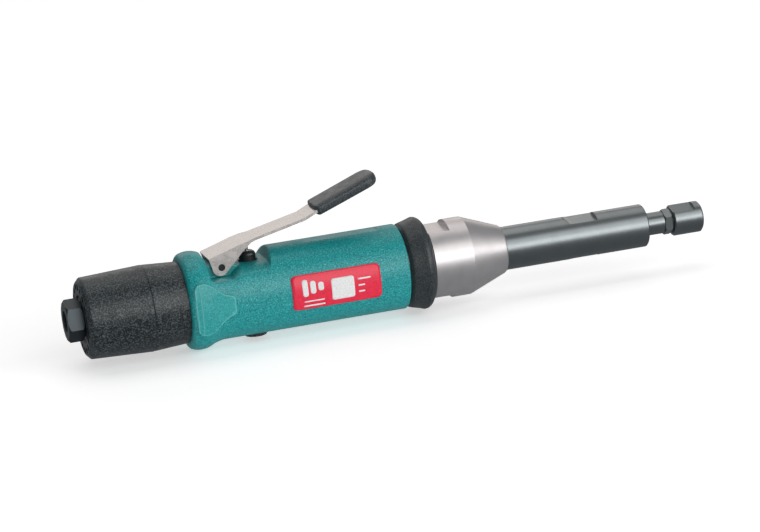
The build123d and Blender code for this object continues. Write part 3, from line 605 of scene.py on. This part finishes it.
def plain_metal(name, color, rough, grain=500.0, metallic=1.0):
    """Polished or plated metal with faint smears and an uneven shine."""
    material, tree, shader, place = finish(name, color, rough, metallic)
    cloud = noise(tree, place, grain, detail=5.0)
    shade = tuple(c * 0.88 for c in color)
    tree.links.new(ramp(tree, cloud, [(0.35, shade), (0.62, color)]), shader.inputs["Base Color"])
    vary(tree, cloud, rough * 0.75, rough * 1.3, shader.inputs["Roughness"])
    bump(tree, shader, (cloud, 0.000015, 0.3))
    return material


COLLAR = turned_metal("satin_collar", (0.62, 0.59, 0.59), 0.38, 1.4, 0.9)
BLUED = turned_metal("blued_steel", (0.23, 0.25, 0.255), 0.32, 0.5)
DARK_STEEL = turned_metal("dark_steel", (0.065, 0.075, 0.08), 0.38)
ALUMINIUM = turned_metal("aluminium", (0.72, 0.73, 0.74), 0.36)
GROUND = turned_metal("ground_steel", (0.55, 0.56, 0.57), 0.30)
BRIGHT = plain_metal("bright_steel", (0.86, 0.85, 0.84), 0.16)
NICKEL = plain_metal("nickel_steel", (0.66, 0.61, 0.58), 0.27, 260, 0.55)
BLACK_OXIDE = plain_metal("black_oxide", (0.035, 0.037, 0.04), 0.30, 700, 0.6)
SPRING = plain_metal("spring_steel", (0.45, 0.46, 0.48), 0.28)
BRASS = plain_metal("brass", (0.80, 0.60, 0.28), 0.25)
BEARING = plain_metal("bearing_steel", (0.82, 0.83, 0.85), 0.12)
print("metals ready")

# %% [markdown]
# ### Plate, print, felt and vanes
# The plate is glossy red enamel, the print is flat white ink, the felt is fibrous, and the vanes
# are a brown cloth laminate.

# %% The small finishes


def enamel(name, color, rough, grain):
    """Smooth printed surface with a faint orange peel."""
    material, tree, shader, place = finish(name, color, rough)
    peel = noise(tree, place, grain, detail=3.0)
    shade = tuple(c * 0.84 for c in color)
    tree.links.new(ramp(tree, peel, [(0.35, shade), (0.62, color)]), shader.inputs["Base Color"])
    vary(tree, peel, rough - 0.05, rough + 0.08, shader.inputs["Roughness"])
    bump(tree, shader, (peel, 0.00002, 0.3))
    return material


RED = enamel("red_enamel", (0.76, 0.012, 0.05), 0.34, 900)
INK = enamel("white_ink", (0.74, 0.74, 0.74), 0.45, 1400)
VANE = enamel("vane_laminate", (0.30, 0.17, 0.07), 0.6, 1600)
FELT = grained("felt", (0.35, 0.33, 0.28), 0.9, 2400, 0.00025, 0.4)

# %% [markdown]
# ## Dressing the nodes
# Every CAD node keeps its mesh and swaps its plain colour for a finish, chosen by its slot in the
# record.

# %% Give each node its finish
FINISH_OF_SLOT = {
    "dark_steel": DARK_STEEL, "bright_steel": BRIGHT, "black_rubber": SEAL_BLACK,
    "black_plastic": CAP_BLACK, "felt": FELT, "teal_composite": TEAL, "aluminium": ALUMINIUM,
    "red_plate": RED, "black_steel": BLACK_OXIDE, "brass": BRASS, "spring_steel": SPRING,
    "nickel_steel": NICKEL, "sleeve_rubber": SLEEVE_BLACK, "ring_rubber": RING_BLACK,
    "satin_collar": COLLAR, "blued_steel": BLUED, "cast_steel": GROUND, "vane_laminate": VANE,
    "bearing_steel": BEARING,
}


def dress(piece, material):
    """Replace whatever materials a piece has with one finish."""
    piece.data.materials.clear()
    piece.data.materials.append(material)


slot_of = {part["node"]: part["material_slot"] for part in frame["record"]["subparts"]}
for node, piece in frame["nodes"].items():
    dress(piece, FINISH_OF_SLOT[slot_of[node]])
for piece, material in ((grip, TEAL), (nose_ring, RING_BLACK), (sleeve, SLEEVE_BLACK), (plate, RED),
                        (thread, DARK_STEEL)):
    dress(piece, material)
# The inlet washer sits deep in the cap's opening and takes dark steel in place of its slot's finish:
# painted shade, which keeps its bright specks out of that dark recess.
dress(frame["nodes"]["inlet_washer"], DARK_STEEL)
for piece in prints:
    dress(piece, INK)
print("dressed", len(frame["nodes"]), "nodes")

# %% [markdown]
# ## Studio
# A pale floor, lit from below like a photographer's light table, and four soft lights. Two wide
# panels stand in front of the tool, one above the other. The lower one is brighter and starts just
# above the level of the spindle, so that every round piece shows one bright band with a crisp lower
# edge. A warm panel behind the tool lights the top of the lever, and a last one hangs overhead. The
# floor is left out of reflections, so that the undersides of the metal stay dark.

# %% Floor, surround and lights
floor_z = cad_box[0][2]
bpy.ops.mesh.primitive_plane_add(size=9.0, location=(0.17, 0, floor_z - 0.0002))
floor = bpy.context.object
floor.name = "studio_floor"
floor_material, _, floor_shader, _ = finish("pale_floor", (0.90, 0.90, 0.90), 0.7)
floor_shader.inputs["Emission Color"].default_value = (1, 1, 1, 1)
floor_shader.inputs["Emission Strength"].default_value = 0.42
dress(floor, floor_material)
floor.visible_glossy = False

world = bpy.data.worlds.new("studio_surround")
bpy.context.scene.world = world
world.use_nodes = True
world.node_tree.nodes["Background"].inputs["Color"].default_value = (0.90, 0.95, 1.0, 1)
world.node_tree.nodes["Background"].inputs["Strength"].default_value = 0.24


def softbox(name, bearing, height, distance, size, radiance, color=(1, 1, 1)):
    """A panel that faces the tool's middle from a bearing and a height in degrees. The bearing is
    counted from the near side towards the collet. Power is radiance times area times pi."""
    light = bpy.data.lights.new(name, "AREA")
    light.shape = "RECTANGLE"
    light.size, light.size_y = size
    light.energy = radiance * size[0] * size[1] * np.pi
    light.color = color
    lamp = bpy.data.objects.new(name, light)
    bpy.context.scene.collection.objects.link(lamp)
    level, climb = np.radians(bearing), np.radians(height)
    way = Vector((np.sin(level) * np.cos(climb), -np.cos(level) * np.cos(climb), np.sin(climb)))
    lamp.location = Vector((0.165, 0, 0)) + distance * way
    lamp.rotation_euler = (-way).to_track_quat("-Z", "Y").to_euler()
    return lamp


softbox("low_panel", 30, 14.5, 2.4, (3.3, 0.95), 3.2)
softbox("high_panel", 28, 38.5, 2.4, (3.2, 1.0), 1.5, (1.0, 0.99, 0.97))
softbox("back_panel", 176, 24, 2.6, (3.0, 1.1), 1.0, (1.0, 0.93, 0.89))
softbox("top_panel", 180, 72, 1.9, (2.0, 1.6), 1.0, (1.0, 0.96, 0.93))

# %% [markdown]
# ## Camera
# A long lens, 1.7 m away, keeps the tool almost free of perspective. The view is built from three
# angles: how far the spindle turns out of the picture, how far it climbs across it, and how far the
# lever leans towards the viewer.

# %% Place the camera
OUT_OF_PICTURE, CLIMB, LEAN = np.radians([14.3, 9.48, 14.5])
DISTANCE, WIDTH_SEEN, SENSOR = 1.7, 0.3895, 36.0
spindle = np.array([np.cos(OUT_OF_PICTURE) * np.cos(CLIMB), np.cos(OUT_OF_PICTURE) * np.sin(CLIMB),
                    -np.sin(OUT_OF_PICTURE)])
upward = np.array([-np.sin(CLIMB), np.cos(CLIMB), 0])
outward = np.cross(spindle, upward)
lever_side = upward * np.cos(LEAN) + outward * np.sin(LEAN)
axes = np.stack([spindle, np.cross(lever_side, spindle), lever_side], 1)
right, up, back = (Vector(row) for row in axes)
camera_data = bpy.data.cameras.new("studio_camera")
camera_data.sensor_width = SENSOR
camera_data.lens = SENSOR * DISTANCE / WIDTH_SEEN
camera_data.clip_end = 20
camera = bpy.data.objects.new("studio_camera", camera_data)
bpy.context.scene.collection.objects.link(camera)
target = Vector((0.1648, 0, 0)) + up * 0.0016
turn_matrix = Matrix((right, up, back)).transposed().to_4x4()
camera.matrix_world = Matrix.Translation(target + back * DISTANCE) @ turn_matrix
bpy.context.scene.camera = camera
bpy.context.scene.view_settings.view_transform = "Standard"
print("camera looks from", [round(v, 3) for v in camera.location])
